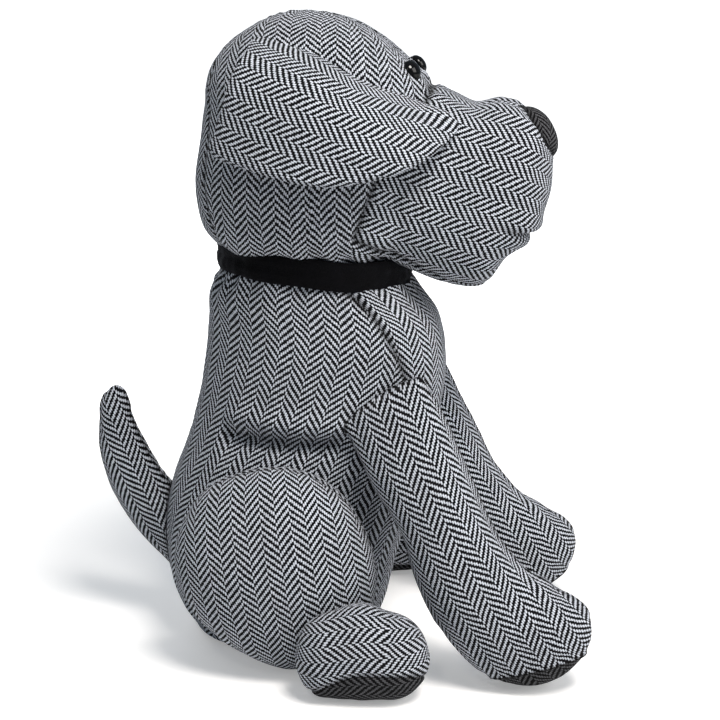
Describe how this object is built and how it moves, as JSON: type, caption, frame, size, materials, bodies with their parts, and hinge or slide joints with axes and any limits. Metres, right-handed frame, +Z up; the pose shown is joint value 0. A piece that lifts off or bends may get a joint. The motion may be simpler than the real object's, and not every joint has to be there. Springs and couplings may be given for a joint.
{
  "type": "weighted fabric door stop",
  "caption": "Sitting dog door stop sewn from herringbone cloth, stuffed, with a velvet collar, bead eyes and a bag of grit in its base.",
  "frame": {"origin": "middle of the underside, on the floor", "axes": "+Z up, +X the way the dog looks, +Y towards its left side"},
  "size_m": [0.2293, 0.191, 0.291],
  "materials": {
    "herringbone": "black and white herringbone wool",
    "dark_herringbone": "charcoal herringbone wool",
    "velvet": "black velvet ribbon",
    "bead": "glossy black",
    "canvas": "plain canvas"
  },
  "bodies": {
    "root": {"torso": "herringbone", "base_panel": "dark_herringbone", "ballast_bag": "canvas", "head": "herringbone", "nose": "dark_herringbone", "eye_right": "bead", "eye_left": "bead", "ear_right": "herringbone", "ear_left": "herringbone", "collar": "velvet", "front_leg_right": "herringbone", "front_leg_left": "herringbone", "front_sole_right": "dark_herringbone", "front_sole_left": "dark_herringbone", "hind_leg_right": "herringbone", "hind_leg_left": "herringbone", "hind_foot_right": "herringbone", "hind_foot_left": "herringbone", "hind_sole_right": "dark_herringbone", "hind_sole_left": "dark_herringbone", "tail": "herringbone"}
  },
  "joints": []
}
